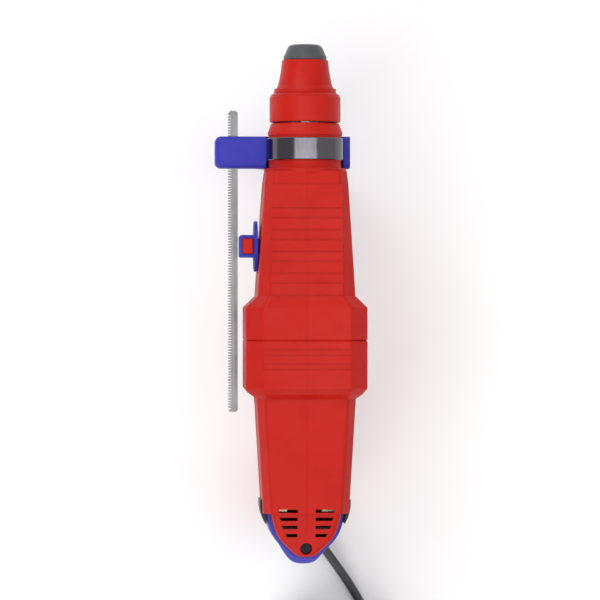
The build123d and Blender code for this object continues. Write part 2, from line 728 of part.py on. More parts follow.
with BuildPart() as handle_right:
    add(handle.part)
    split(bisect_by=Plane.YZ, keep=Keep.TOP)
finish(handle_right, "handle_right")

with BuildPart() as handle_screws:
    for y, z, reach in handle_screw_places:
        rod_x_axis(1.5, 3 - reach, reach - 3, y, z)
        rod_x_axis(3.0, reach - 3, reach - 1, y, z)
finish(handle_screws, "handle_screws")

# --- switch, trigger and small controls ---
with BuildPart() as switch_body:
    with Locations((0, switch_front_y - 10.5, -77.0)):
        Box(18.0, 21.0, 38.0)
    fillet(switch_body.edges().filter_by(Axis.Z), 1.5)
finish(switch_body, "switch_body")

with BuildPart() as trigger:
    with BuildSketch(Plane.YZ.offset(-trigger_half)) as trigger_side:
        with BuildLine():
            ThreePointArc((-290.5, trigger_top), (-295.0, -75.0), (-289.5, trigger_bottom))
            Polyline((-289.5, trigger_bottom), (trigger_rear_y, trigger_bottom),
                     (trigger_rear_y, trigger_top), (-290.5, trigger_top))
        make_face()
    extrude(amount=2 * trigger_half)
    fillet(trigger.faces().filter_by(GeomType.CYLINDER).edges().filter_by(GeomType.CIRCLE), 2.4)
finish(trigger, "trigger")

with BuildPart() as trigger_spring:
    with BuildLine() as trigger_coil:
        spring_start = (0, trigger_rear_y - 0.5, -76.0)
        Helix(pitch=1.6, height=6.0, radius=3.4, center=spring_start, direction=(0, -1, 0))
    with BuildSketch(Plane(origin=trigger_coil.line @ 0, z_dir=trigger_coil.line % 0)):
        Circle(0.4)
    sweep(path=trigger_coil.line)
finish(trigger_spring, "trigger_spring")

with BuildPart() as lock_button:
    rod_x_axis(lock_r, -19.6, -12.2, lock_y, lock_z)
    fillet(lock_button.edges().sort_by(Axis.X)[0], 1.0)
finish(lock_button, "lock_button")

with BuildPart() as direction_slider:
    with Locations((0, slider_y, slider_z)):
        Box(42.0, 8.0, 5.0)
    fillet(direction_slider.edges().filter_by(Axis.Z), 1.2)
finish(direction_slider, "direction_slider")

cap_outline = [(32.1, -327.5), (33.4, -328.2), (33.3, -333.0), (32.4, -338.0), (31.0, -342.0), (29.1, -345.8),
               (28.5, -345.4), (29.5, -338.0), (31.8, -337.7)]
for name, side in (("brush_cap_left", -1), ("brush_cap_right", 1)):
    with BuildPart() as brush_cap:
        with BuildSketch(Plane.XY.offset(-25.0)):
            with BuildLine():
                Polyline(*[(side * x, y) for x, y in cap_outline], close=True)
            make_face()
        extrude(amount=30.0)
        low, high = sorted((side * 28.5, side * 32.0))
        rod_x_axis(5.0, low, high, brush_y, motor_z)
    finish(brush_cap, name)

with BuildPart() as end_frame:
    with BuildSketch(Plane.XY.offset(-32.0)) as end_plan:
        add(tail_plan(-32.0, cavity_points))
        with Locations((0, rear_bearing_y - 2.5)):
            Rectangle(60, 5.0, mode=Mode.INTERSECT)
    extrude(amount=43.0)
    rod_y(12.0, rear_bearing_y, rear_bearing_y - bearing_width - 1, z=motor_z)
    rod_y(9.5, rear_bearing_y + 1, rear_bearing_y - bearing_width, z=motor_z, mode=Mode.SUBTRACT)
    rod_y(5.0, rear_bearing_y, rear_bearing_y - 20, z=motor_z, mode=Mode.SUBTRACT)
finish(end_frame, "end_frame")

# --- mode selector ---
bar_face_x = knob_face_x - knob_disc
bar_end_x = bar_face_x - knob_bar_height
bar_reach = 17.0
frame_wall = 2.7
button_top = 1.6
button_depth = 11.0
with BuildPart() as selector_knob:
    rod_x_axis(knob_r, bar_face_x, knob_face_x, knob_y, knob_z)
    fillet(selector_knob.edges().sort_by(Axis.X)[0], 0.8)
    rod_x_axis(knob_stub_r, knob_face_x, -28.4, knob_y, knob_z)
    with Locations(((bar_face_x + bar_end_x) / 2, knob_y, knob_z)):
        Box(knob_bar_height, knob_bar_width, 2 * bar_reach)
    fillet(selector_knob.edges().filter_by(Axis.Z).group_by(Axis.X)[0], 1.6)
    with Locations(((bar_face_x + bar_end_x) / 2 + 0.4, knob_y, knob_z + bar_reach - button_depth / 2 + 0.5)):
        Box(knob_bar_height - 2 * frame_wall + 3.2, knob_bar_width - 2 * frame_wall + 0.6, button_depth + 1,
            mode=Mode.SUBTRACT)
finish(selector_knob, "selector_knob")

with BuildPart() as selector_button:
    with Locations(((bar_face_x + bar_end_x) / 2 + 0.4, knob_y, knob_z + bar_reach + button_top - 4.5)):
        Box(knob_bar_height - 2 * frame_wall + 2.6, knob_bar_width - 2 * frame_wall, 9.0)
    fillet(selector_button.edges().group_by(Axis.Z)[-1], 0.8)
finish(selector_button, "selector_button")

# --- side handle ---
strap_inner = collar_r + gap
strap_outer = strap_inner + strap_thick
head_front = collar_y - 1.75 + head_length / 2
head_rear = head_front - head_length
head_bore = strap_outer + 0.1
head_top = -3.0
ear_bottom = -25.0
head_bottom = -45.0
head_right = 33.4
bolt_r = 4.0
bolt_y = (head_front + head_rear) / 2
button_hole_r = 4.2
with BuildPart() as clamp_strap:
    tube(strap_outer, strap_inner, collar_y + strap_width / 2, collar_y - strap_width / 2, edge=0.4)
    with Locations((0, collar_y, -strap_outer - 2.0)):
        Box(16.0, strap_width - 2.0, 4.4)
    rod_y(strap_inner, collar_y + 20, collar_y - 20, mode=Mode.SUBTRACT)
finish(clamp_strap, "clamp_strap")

with BuildPart() as clamp_head:
    with BuildSketch(section_plane(head_front)) as head_side:
        with BuildLine():
            Polyline((ear_end_x, head_top), (head_right, head_top), (head_right, -24.0), (22.0, head_bottom),
                     (-22.0, head_bottom), (-33.0, ear_bottom), (ear_end_x, ear_bottom), close=True)
        make_face()
        fillet(head_side.vertices().sort_by(Axis.X)[:2], 5.0)
    extrude(amount=head_length)
    fillet(clamp_head.faces().sort_by(Axis.X)[0].edges().filter_by(Axis.Z), 4.5)
    rod_y(head_bore, 0, -100, mode=Mode.SUBTRACT)
    with Locations((0, collar_y, -strap_outer - 3.0)):
        Box(16.4, strap_width - 1.6, 8.0, mode=Mode.SUBTRACT)
    rod_z_axis(bolt_r + 0.2, -20, -60, 0, bolt_y, mode=Mode.SUBTRACT)
    with Locations((rod_x, bolt_y, rod_z)):
        Box(rod_width + 2 * gap, 40, rod_height + 2 * gap, mode=Mode.SUBTRACT)
    rod_z_axis(button_hole_r + 0.2, rod_z - rod_height / 2 - 2.0, -40, rod_x, bolt_y, mode=Mode.SUBTRACT)
finish(clamp_head, "clamp_head")

with BuildPart() as clamp_bolt:
    rod_z_axis(bolt_r, -strap_outer - 4.2, -86.0, 0, bolt_y)
finish(clamp_bolt, "clamp_bolt")

with BuildPart() as rod_button:
    rod_z_axis(button_hole_r, rod_z - rod_height / 2 - 5.4, ear_bottom - 3.0, rod_x, bolt_y)
    fillet(rod_button.edges().sort_by(Axis.Z)[0], 1.2)
finish(rod_button, "rod_button")

with BuildPart() as depth_rod:
    tooth_depth = 2.4
    rod_left = rod_x - rod_width / 2
    teeth = [(rod_left + 1.4, rod_front_y)]
    count = int((rod_length - 4.0) / tooth_pitch)
    for tooth in range(count):
        start = rod_front_y - 2.0 - tooth * tooth_pitch
        teeth += [(rod_left, start), (rod_left, start - 0.5 * tooth_pitch),
                  (rod_left + tooth_depth, start - 0.6 * tooth_pitch),
                  (rod_left + tooth_depth, start - 0.9 * tooth_pitch)]
    rod_rear = rod_front_y - rod_length
    with BuildSketch(Plane.XY.offset(rod_z - rod_height / 2)):
        with BuildLine():
            Polyline(*teeth, (rod_left, rod_rear + 1.4), (rod_left + 1.4, rod_rear),
                     (rod_left + rod_width - 1.4, rod_rear), (rod_left + rod_width, rod_rear + 1.4),
                     (rod_left + rod_width, rod_front_y - 1.4), (rod_left + rod_width - 1.4, rod_front_y),
                     close=True)
        make_face()
    extrude(amount=rod_height)
finish(depth_rod, "depth_rod")

grip_top = head_bottom - 0.5
with BuildPart() as side_grip:
    with BuildSketch(Plane.XZ.offset(-bolt_y)) as grip_profile:
        with BuildLine():
            Polyline((bolt_r + 0.4, grip_top), (17.5, grip_top), (18.5, grip_top - 1), (18.5, grip_top - 4),
                     (17.0, grip_top - 7))
            Spline((17.0, grip_top - 7), (14.0, grip_top - 20), (grip_r, grip_top - 62), (14.5, grip_top - 100),
                   tangents=[(-1, -1), (0.3, -1)])
            Polyline((14.5, grip_top - 100), (20.5, grip_top - 110), (22.0, floor_z + 5), (22.0, floor_z + 1.5),
                     (20.5, floor_z), (0, floor_z), (0, -88.0), (bolt_r + 0.4, -88.0), (bolt_r + 0.4, grip_top))
        make_face()
    revolve(axis=Axis((0, bolt_y, 0), (0, 0, 1)))
finish(side_grip, "side_grip")

# --- mains lead ---
cord_r = 3.4
guard_start_t = 12.0
guard_end_t = 40.0
guard_plane = Plane(origin=guard_start + guard_way * guard_start_t, x_dir=(0.8, 0.6, 0), z_dir=guard_way)
with BuildPart() as cord_guard:
    with BuildSketch(guard_plane):
        Circle(5.0)
    extrude(amount=9.5)
    with BuildSketch(guard_plane.offset(9.5)):
        Circle(6.2)
    with BuildSketch(guard_plane.offset(guard_end_t - guard_start_t)):
        Circle(cord_r + 0.3)
    loft()
    for ring in range(4):
        ring_plane = guard_plane.offset(12.5 + 3.4 * ring)
        with BuildSketch(ring_plane):
            Circle(9.0)
            Circle(5.0 - 0.35 * ring, mode=Mode.SUBTRACT)
        extrude(amount=1.3, mode=Mode.SUBTRACT)
finish(cord_guard, "cord_guard")

cord_exit = guard_start + guard_way * guard_end_t
cord_z = floor_z + cord_r
cord_points = [
    tuple(cord_exit), (34.2, -389.6, -156.4), (43.8, -403.6, -158.6), (51.5, -416.5, cord_z),
    (59.2, -431.0, cord_z), (66.0, -446.0, cord_z),
]
coil_x, coil_y = 25.5, -464.0
coil_mean_r = 37.5
coil_wide = 3
coil_high = 4
pitch = 2 * cord_r


def corner_radii(points):
    """Arc radius at each corner: 0.45 of the shorter run over the tangent of half the turn."""
    radii = []
    for before, here, after in zip(points, points[1:], points[2:]):
        first, second = Vector(*here) - Vector(*before), Vector(*after) - Vector(*here)
        turned = first.get_angle(second) * pi / 180
        radii.append(0.45 * min(first.length, second.length) / tan(turned / 2))
    return radii


def cord_tube(points):
    """A tube of straight runs joined by tangent arcs."""
    radii = corner_radii(points)
    print("cord radii", [round(radius, 1) for radius in radii])
    with BuildLine() as route:
        FilletPolyline(*points, radius=radii)
    path = route.wire()
    with BuildSketch(Plane(origin=path @ 0, z_dir=path % 0)) as section:
        Circle(cord_r)
    sweep(section.sketch, path=path)
    return path.length


with BuildPart() as cord_lead:
    lead_length = cord_tube(cord_points)
volume_ratio = cord_lead.part.volume / (pi * cord_r ** 2 * lead_length)
print("cord lead", round(lead_length, 1), round(volume_ratio, 4))
finish(cord_lead, "cord_lead")

with BuildPart() as cord_coil:
    half_width = (coil_wide - 1) / 2 * pitch + cord_r
    coil_top = floor_z + (coil_high - 1) * pitch + 2 * cord_r
    with BuildSketch(Plane.XY.offset(floor_z)):
        with Locations((coil_x, coil_y)):
            Circle(coil_mean_r + half_width)
            Circle(coil_mean_r - half_width, mode=Mode.SUBTRACT)
    extrude(amount=coil_top - floor_z)
    fillet(cord_coil.edges(), cord_r - 0.2)
finish(cord_coil, "cord_coil")

# --- plug ---
plug_z = coil_top + 13.2
plug_front = (coil_x - 46.0, coil_y - coil_mean_r + pitch, plug_z)
plug_plane = Plane(origin=plug_front, x_dir=(0, -1, 0), z_dir=(1, 0, 0))
with BuildPart() as plug_body:
    for distance, drop, plug_width, plug_height, plug_round in (
            (0.0, 0.0, 33.0, 26.0, 12.0), (19.0, 0.0, 32.0, 25.0, 11.6), (31.0, 6.4, 13.0, 13.0, 5.8),
            (54.0, 8.7, 8.6, 8.6, 4.2)):
        with BuildSketch(plug_plane.offset(distance)):
            with Locations((0, drop)):
                RectangleRounded(plug_width, plug_height, plug_round)
    loft(ruled=True)
finish(plug_body, "plug_body")

with BuildPart() as plug_pins:
    with BuildSketch(plug_plane):
        with Locations((-9.5, 0), (9.5, 0)):
            Circle(2.4)
    extrude(amount=-19.0)
    fillet(plug_pins.faces().sort_by(Axis.X)[:2].edges(), 1.2)
finish(plug_pins, "plug_pins")
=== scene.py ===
import bpy, bmesh, math
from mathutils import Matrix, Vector


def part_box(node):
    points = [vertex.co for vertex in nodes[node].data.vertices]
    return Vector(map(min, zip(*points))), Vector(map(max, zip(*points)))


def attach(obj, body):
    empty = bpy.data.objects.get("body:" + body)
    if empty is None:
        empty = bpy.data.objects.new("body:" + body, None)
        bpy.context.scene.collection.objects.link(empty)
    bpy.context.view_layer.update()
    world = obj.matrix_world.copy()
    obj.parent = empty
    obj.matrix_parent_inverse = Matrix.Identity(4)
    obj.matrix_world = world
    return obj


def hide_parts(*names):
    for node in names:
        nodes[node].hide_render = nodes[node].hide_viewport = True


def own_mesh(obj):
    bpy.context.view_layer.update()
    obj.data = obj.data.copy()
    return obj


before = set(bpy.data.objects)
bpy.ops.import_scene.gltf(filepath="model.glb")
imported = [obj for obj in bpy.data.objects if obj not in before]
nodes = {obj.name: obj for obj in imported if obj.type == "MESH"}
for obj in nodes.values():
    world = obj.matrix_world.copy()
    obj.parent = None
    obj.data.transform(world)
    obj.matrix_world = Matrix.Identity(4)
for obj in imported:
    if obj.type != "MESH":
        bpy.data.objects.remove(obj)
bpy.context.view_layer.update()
scene = bpy.context.scene
MM = 0.001
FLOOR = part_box("side_grip")[0][2]
pi = math.pi


# ---------- camera: straight above, turned a little towards the tool's left ----------
VIEW_TURN = math.radians(3.0)
VIEW_DISTANCE = 2.7
VIEW_LENS = 220.4
aim = Vector((-3.7, -181.5, 0)) * MM
cam_data = bpy.data.cameras.new("camera")
cam_data.sensor_width = 36
cam_data.lens = VIEW_LENS
cam_data.clip_end = 20
cam = bpy.data.objects.new("camera", cam_data)
scene.collection.objects.link(cam)
cam.location = aim + Vector((-math.sin(VIEW_TURN), 0, math.cos(VIEW_TURN))) * VIEW_DISTANCE
cam.rotation_euler = (0, -VIEW_TURN, 0)
scene.camera = cam


# ---------- helpers ----------
def put(mesh_or_curve, name, body="root", mat=None):
    obj = bpy.data.objects.new(name, mesh_or_curve)
    scene.collection.objects.link(obj)
    if mat:
        obj.data.materials.append(mat)
    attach(obj, body)
    return obj


def smooth(t):
    t = max(0.0, min(1.0, t))
    return t * t * (3 - 2 * t)


# ---------- materials ----------
class Mat:
    """A Principled material with object coordinates, built up call by call."""

    def __init__(self, name, color, rough, metal=0.0):
        self.mat = bpy.data.materials.new(name)
        self.mat.use_nodes = True
        self.tree = self.mat.node_tree
        self.bsdf = self.tree.nodes["Principled BSDF"]
        self.bsdf.inputs["Metallic"].default_value = metal
        self.base = color
        self.coord = self.tree.nodes.new("ShaderNodeTexCoord").outputs["Object"]
        self.color_out = None
        self.normal_out = None
        self.bsdf.inputs["Base Color"].default_value = (*color, 1)
        self.bsdf.inputs["Roughness"].default_value = rough

    def node(self, kind, **inputs):
        n = self.tree.nodes.new(kind)
        for key, value in inputs.items():
            numbered = key[0] == "i" and key[1:].isdigit()
            sock = n.inputs[int(key[1:])] if numbered else n.inputs[key]
            if isinstance(value, bpy.types.NodeSocket):
                self.tree.links.new(value, sock)
            else:
                sock.default_value = value
        return n

    def math(self, op, a, b=0.0):
        n = self.node("ShaderNodeMath", i0=a, i1=b)
        n.operation = op
        return n.outputs[0]

    def stretch(self, x, y, z):
        return self.node("ShaderNodeMapping", Vector=self.coord, Scale=(x, y, z)).outputs[0]

    def noise(self, scale, detail=3.0, rough=0.5, coord=None):
        place = coord or self.coord
        made = self.node("ShaderNodeTexNoise", Vector=place, Scale=scale, Detail=detail, Roughness=rough)
        return made.outputs["Fac"]

    def cells(self, scale, coord=None):
        place = coord or self.coord
        return self.node("ShaderNodeTexVoronoi", Vector=place, Scale=scale).outputs["Distance"]

    def ramp(self, value, low, high, to_low=0.0, to_high=1.0):
        n = self.node("ShaderNodeMapRange", i0=value, i1=low, i2=high, i3=to_low, i4=to_high)
        n.interpolation_type = "SMOOTHSTEP"
        return n.outputs[0]

    def xyz(self, axis):
        return self.node("ShaderNodeSeparateXYZ", Vector=self.coord).outputs[axis]

    def tint(self, factor, color):
        """Mixes a colour over what there is, by factor."""
        n = self.tree.nodes.new("ShaderNodeMix")
        n.data_type = "RGBA"
        self.tree.links.new(factor, n.inputs["Factor"])
        if self.color_out:
            self.tree.links.new(self.color_out, n.inputs["A"])
        else:
            n.inputs["A"].default_value = (*self.base, 1)
        n.inputs["B"].default_value = (*color, 1)
        self.color_out = n.outputs["Result"]
        self.tree.links.new(self.color_out, self.bsdf.inputs["Base Color"])
        return self

    def vary(self, scale, color, amount, low=0.35, high=0.7):
        """Cloudy patches of a second colour."""
        return self.tint(self.ramp(self.noise(scale, 4, 0.55), low, high, 0, amount), color)

    def roughness(self, value, low, high):
        out = self.ramp(value, 0.3, 0.7, low, high)
        self.tree.links.new(out, self.bsdf.inputs["Roughness"])
        return self

    def bump(self, height, depth, strength=0.5):
        n = self.node("ShaderNodeBump", Height=height, Distance=depth, Strength=strength)
        if self.normal_out:
            self.tree.links.new(self.normal_out, n.inputs["Normal"])
        self.normal_out = n.outputs[0]
        self.tree.links.new(self.normal_out, self.bsdf.inputs["Normal"])
        return self


def moulded(name, color, light, dark, rough=(0.42, 0.56), grain=900, depth=0.00006, seam=False):
    """Spark-textured plastic: a fine grain, faint flow marks and light scuffs."""
    m = Mat(name, color, rough[0])
    m.vary(9, light, 0.35).vary(55, dark, 0.25, 0.45, 0.75)
    scuff = m.noise(60, 6, 0.7, m.stretch(1, 7, 3))
    m.tint(m.ramp(scuff, 0.66, 0.74, 0, 0.22), light)
    if seam:
        line = m.ramp(m.math("ABSOLUTE", m.xyz("X")), 0.00008, 0.00035, 1, 0)
        m.tint(m.math("MULTIPLY", line, 0.4), dark)
        m.bump(m.math("MULTIPLY", line, -1.0), 0.0002, 0.35)
    m.roughness(m.noise(35, 5, 0.6), *rough)
    m.bump(m.cells(grain), depth, 0.42).bump(m.noise(grain * 2.2, 2), depth * 0.6, 0.3)
    m.bsdf.inputs["Specular IOR Level"].default_value = 0.18
    return m


def metal(name, color, rough, along=(1, 1, 1), scratch=180, depth=0.00002, dark=None, spread=0.12):
    """Steel or alloy with fine lines along one axis and a little staining."""
    m = Mat(name, color, rough, 1.0)
    if dark:
        m.vary(40, dark, 0.6, 0.42, 0.72)
    lines = m.noise(scratch, 5, 0.65, m.stretch(*along))
    m.tint(m.ramp(lines, 0.58, 0.72, 0, 0.25), tuple(c * 0.6 for c in color))
    m.roughness(m.noise(70, 5, 0.6, m.stretch(*along)), rough - spread * 0.5, rough + spread)
    m.bump(lines, depth, 0.4)
    return m


def rubber(name, color, light, rough=(0.62, 0.8), grain=1300, depth=0.00005):
    m = Mat(name, color, rough[0])
    m.vary(14, light, 0.35).vary(110, light, 0.2, 0.5, 0.75)
    m.roughness(m.noise(45, 5, 0.6), *rough)
    m.bump(m.noise(grain, 4, 0.6), depth, 0.5)
    m.bsdf.inputs["Sheen Weight"].default_value = 0.12
    m.bsdf.inputs["Sheen Roughness"].default_value = 0.6
    return m


RED, RED_LIGHT, RED_DARK = (0.47, 0.008, 0.003), (0.53, 0.017, 0.009), (0.34, 0.004, 0.002)
BLUE, BLUE_LIGHT, BLUE_DARK = (0.032, 0.032, 0.36), (0.055, 0.055, 0.45), (0.018, 0.017, 0.24)

red = moulded("red_moulded", RED, RED_LIGHT, RED_DARK)
red_seam = moulded("red_moulded_seam", RED, RED_LIGHT, RED_DARK, seam=True)
red_gloss = moulded("red_sleeve", RED, RED_LIGHT, RED_DARK, (0.34, 0.48), 1100, 0.00004)
blue = moulded("blue_moulded", BLUE, BLUE_LIGHT, BLUE_DARK, (0.40, 0.54))
blue_soft = rubber("blue_overmould", BLUE, BLUE_LIGHT, (0.52, 0.68), 1500, 0.00004)
black = moulded("black_moulded", (0.035, 0.034, 0.04), (0.06, 0.06, 0.068), (0.018, 0.018, 0.022),
                (0.4, 0.58))
cap_grey = rubber("dust_cap_rubber", (0.044, 0.048, 0.058), (0.062, 0.068, 0.080), (0.5, 0.66))
sheath = rubber("lead_sheath", (0.026, 0.030, 0.036), (0.045, 0.05, 0.058), (0.42, 0.6), 1700, 0.00002)
strap_steel = metal("strap_steel", (0.115, 0.11, 0.125), 0.13, (1, 1, 60), 40, 0.00001,
                    (0.10, 0.095, 0.11), 0.08)
strap_steel.bsdf.inputs["Anisotropic"].default_value = 0.4
rod_steel = metal("rod_steel", (0.20, 0.20, 0.20), 0.34, (14, 0.1, 14), 160, 0.00003, (0.13, 0.13, 0.13))
bright = metal("zinc_steel", (0.66, 0.66, 0.67), 0.28, (1, 1, 1), 220, 0.00002, (0.5, 0.5, 0.5))
ground = metal("ground_steel", (0.55, 0.55, 0.56), 0.22, (1, 30, 1), 60, 0.00001, (0.4, 0.4, 0.41))
dark_screw = metal("black_oxide", (0.035, 0.034, 0.036), 0.42, (1, 1, 1), 260, 0.00002, (0.02, 0.02, 0.022))
alloy = metal("die_cast_alloy", (0.58, 0.58, 0.59), 0.44, (1, 1, 1), 500, 0.00006, (0.46, 0.46, 0.47))
brass = metal("plated_brass", (0.74, 0.68, 0.52), 0.24, (1, 1, 1), 240, 0.00001, (0.58, 0.52, 0.38))
carbon = moulded("pressed_carbon", (0.028, 0.028, 0.03), (0.06, 0.06, 0.062), (0.012, 0.012, 0.012),
                 (0.45, 0.7), 1600)

# sheet stacks: one line for each sheet along the shaft
SHEET = 0.0007
stack = metal("sheet_stack", (0.30, 0.29, 0.285), 0.42, (1, 1, 1), 300, 0.00001, (0.2, 0.19, 0.19))
sheets = stack.math("SINE", stack.math("MULTIPLY", stack.xyz("Y"), 2 * pi / SHEET))
stack.bump(sheets, 0.00008, 0.7).tint(stack.ramp(sheets, -1, -0.5, 0.5, 0), (0.08, 0.075, 0.07))

# enamelled wire: strands that run along the shaft
wire = metal("enamelled_wire", (0.55, 0.20, 0.075), 0.3, (1, 1, 1), 260, 0.00001, (0.36, 0.11, 0.04))
strand = wire.cells(900, wire.stretch(1, 0.06, 1))
wire.bump(strand, 0.0003, 0.9).tint(wire.ramp(strand, 0.35, 0.6, 0, 0.6), (0.16, 0.05, 0.02))

# commutator: worn copper with fine lines round it
bars = metal("commutator_bars", (0.72, 0.36, 0.2), 0.26, (1, 20, 1), 80, 0.00001, (0.5, 0.22, 0.11))

# what each node is painted with; the rest are ground steel
PAINTED = [
    (red_seam, ["gear_housing", "motor_housing", "rear_cover"]),
    (red, ["handle_left", "handle_right", "selector_button"]),
    (red_gloss, ["locking_sleeve", "rear_sleeve"]),
    (blue, ["selector_knob", "clamp_head"]),
    (blue_soft, ["tail_band", "palm_pad", "side_grip"]),
    (black, ["brush_cap_left", "brush_cap_right", "switch_body", "trigger", "lock_button"]),
    (black, ["direction_slider", "rod_button", "end_frame", "fan"]),
    (cap_grey, ["dust_cap", "front_seal"]),
    (sheath, ["cord_guard", "cord_lead", "cord_coil", "plug_body"]),
    (strap_steel, ["clamp_strap"]),
    (rod_steel, ["depth_rod"]),
    (bright, ["clamp_bolt", "sleeve_spring", "trigger_spring", "spring_seat"]),
    (alloy, ["gear_frame", "bearing_plate", "piston"]),
    (dark_screw, ["cover_screw", "handle_screws", "housing_screws"]),
    (brass, ["plug_pins", "brush_holders"]),
    (stack, ["stator", "armature_core"]),
    (wire, ["field_coils", "armature_windings"]),
    (bars, ["commutator"]),
    (carbon, ["carbon_brushes"]),
]
PAINT = {name: paint for paint, names in PAINTED for name in names}
for name, obj in nodes.items():
    paint = PAINT.get(name, ground)
    obj.data.materials.clear()
    obj.data.materials.append(paint.mat)


# ---------- springs: each gets a mesh of its own -----------------------------------------------------
def spring(node):
    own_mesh(nodes[node])


spring("sleeve_spring")
spring("trigger_spring")


# ---------- mains lead: one smooth line from the guard to the plug ----------
CORD_R = 3.4
PITCH = 2 * CORD_R
CORD_Z = FLOOR / MM + CORD_R
COIL = (25.5, -464.0)
ENTRY = 24.0        # where the lead meets the coil, in degrees; the turns run clockwise from there
route = [(24.0, -375.6, -155.5), (34.2, -389.6, -156.4), (43.8, -403.6, -158.6), (51.5, -416.5, CORD_Z),
         (59.2, -431.0, CORD_Z)]
STEPS = 20          # points in each turn
COVER = 1 / (0.75 + 0.25 * math.cos(2 * pi / STEPS))
MIDDLE = 37.5       # radius of the coil's middle ring
OUTER, INNER = MIDDLE + PITCH, MIDDLE - PITCH
# each change of ring or layer: the angle it starts at, in degrees wound so far, and what changes
RING_MOVES = [(300, MIDDLE), (660, INNER), (1260, MIDDLE), (1620, OUTER), (2220, MIDDLE), (2580, INNER),
              (3180, MIDDLE), (3540, OUTER)]
LAYER_MOVES = [960, 1920, 2880, 3840]
MOVE = 60           # degrees that each change takes
DRAW_IN = 3900      # from here to the end the last turn draws in to the plug
LIFT, LIFT_FROM = 0.16, 3960     # and rises by this share of a layer
COIL_END = 4059.0


def coil_point(angle):
    radius, layer = OUTER, 0.0
    for start, ring in RING_MOVES:
        radius += (ring - radius) * smooth((angle - start) / MOVE)
    for start in LAYER_MOVES:
        layer += smooth((angle - start) / MOVE)
    radius += (INNER - radius) * smooth((angle - DRAW_IN) / (COIL_END - DRAW_IN))
    layer += LIFT * smooth((angle - LIFT_FROM) / MOVE)
    wander = 0.10 * math.sin(angle * 0.031) + 0.07 * math.sin(angle * 0.017 + 1.3)
    around = math.radians(ENTRY - angle)
    r = (radius + wander) * COVER
    return (COIL[0] + r * math.cos(around), COIL[1] + r * math.sin(around), CORD_Z + PITCH * layer)


steps = int(COIL_END / 360 * STEPS)
route += [coil_point(COIL_END * i / steps) for i in range(steps + 1)]
INTO_PLUG = 7.0     # how far the lead runs into the plug's tail
plug_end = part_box("plug_body")[1][0] / MM
route += [(plug_end - INTO_PLUG, COIL[1] - INNER, route[-1][2])]

curve = bpy.data.curves.new("mains_lead", "CURVE")
curve.dimensions = "3D"
line = curve.splines.new("NURBS")
line.points.add(len(route) - 1)
for point, place in zip(line.points, route):
    point.co = (*(c * MM for c in place), 1)
    point.radius = CORD_R * MM
line.order_u = 3
line.use_endpoint_u = True
line.resolution_u = 6
curve.use_fill_caps = True
lead = put(curve, "mains_lead", "root", sheath.mat)
bpy.context.view_layer.update()
measured = bpy.data.meshes.new_from_object(lead.evaluated_get(bpy.context.evaluated_depsgraph_get()))
curve.bevel_depth = 1.0     # times each point's radius
curve.bevel_resolution = 5
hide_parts("cord_lead", "cord_coil")


# ---------- shapes ----------
def mesh_of(name, verts, faces):
    mesh = bpy.data.meshes.new(name)
    mesh.from_pydata([Vector(v) * MM for v in verts], [], faces)
    mesh.validate()
    work = bmesh.new()
    work.from_mesh(mesh)
    bmesh.ops.recalc_face_normals(work, faces=work.faces)
    for face in work.faces:
        face.smooth = True
    work.to_mesh(mesh)
    work.free()
    return mesh


def strip(name, loop, half_width, thick, side, body, mat, bevel):
    """A strap: closed loop of points, extruded both ways along side and thickened outwards."""
    n = len(loop)
    centre = sum((Vector(p) for p in loop), Vector()) / n
    side = Vector(side).normalized()
    verts = []
    for i, p in enumerate(loop):
        p = Vector(p)
        tangent = (Vector(loop[(i + 1) % n]) - Vector(loop[i - 1])).normalized()
        out = tangent.cross(side).normalized()
        if out.dot(p - centre) < 0:
            out = -out
        for across, up in ((-1, 0), (1, 0), (1, 1), (-1, 1)):
            verts.append(p + side * half_width * across + out * thick * up)
    faces = []
    for i in range(n):
        j = (i + 1) % n
        for k in range(4):
            m = (k + 1) % 4
            faces.append((4 * i + k, 4 * i + m, 4 * j + m, 4 * j + k))
    obj = put(mesh_of(name, verts, faces), name, body, mat)
    mod = obj.modifiers.new("round", "BEVEL")
    mod.width, mod.segments, mod.limit_method = bevel * MM, 2, "ANGLE"
    return obj


def rounded(width, height, r, corner=6):
    """Outline of a rounded rectangle, counter-clockwise."""
    pts = []
    for cx, cy, a0 in ((1, 1, 0), (-1, 1, 90), (-1, -1, 180), (1, -1, 270)):
        for k in range(corner + 1):
            a = math.radians(a0 + 90 * k / corner)
            pts.append((cx * (width / 2 - r) + r * math.cos(a), cy * (height / 2 - r) + r * math.sin(a)))
    return pts


